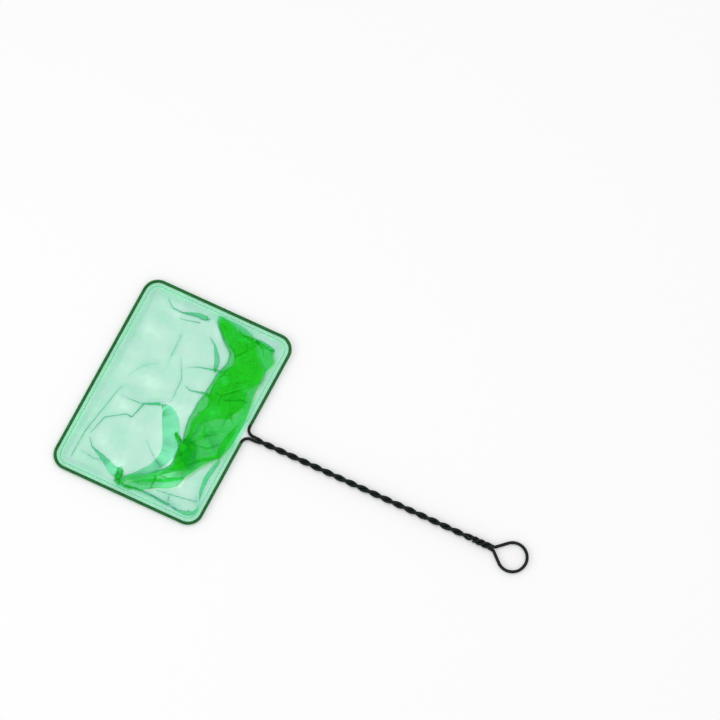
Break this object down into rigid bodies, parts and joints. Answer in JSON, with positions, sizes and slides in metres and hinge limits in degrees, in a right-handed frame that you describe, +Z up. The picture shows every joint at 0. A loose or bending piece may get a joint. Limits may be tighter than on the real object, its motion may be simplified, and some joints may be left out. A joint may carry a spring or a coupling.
{
  "type": "aquarium fish net",
  "caption": "Aquarium fish net: a rectangular wire hoop carries a fine mesh bag, shown collapsed flat, on a handle of twisted coated wire that ends in a hanging ring.",
  "frame": {"origin": "under the middle of the whole net's box, on the table that it lies on", "axes": "+X along the handle from the hoop to the hanging ring, +Y across the hoop, +Z up from the table, out of the net's mouth"},
  "size_m": [0.4533, 0.207, 0.0067],
  "materials": {
    "coated_wire": "smooth black-green PVC coating with a soft gloss",
    "steel_core": "drawn steel, seen only at the cut ends",
    "mesh": "fine see-through knitted nylon mesh",
    "hem": "the same mesh, doubled and sewn",
    "thread": "green polyester thread"
  },
  "bodies": {
    "root": {"hoop_far_side": "coated_wire", "hoop_left_side": "coated_wire", "hoop_right_side": "coated_wire", "hoop_root_left": "coated_wire", "hoop_root_right": "coated_wire", "hoop_core": "steel_core", "handle_strand_left": "coated_wire", "handle_strand_left_core": "steel_core", "handle_strand_right": "coated_wire", "handle_strand_right_core": "steel_core", "neck_tail": "coated_wire", "neck_tail_core": "steel_core", "hanging_ring": "coated_wire", "hanging_ring_core": "steel_core", "hem_far": "hem", "hem_near_left": "hem", "hem_near_right": "hem", "hem_stitching": "thread", "bag_far_panel": "mesh", "bag_near_panel": "mesh", "bag_seam": "thread"}
  },
  "joints": []
}
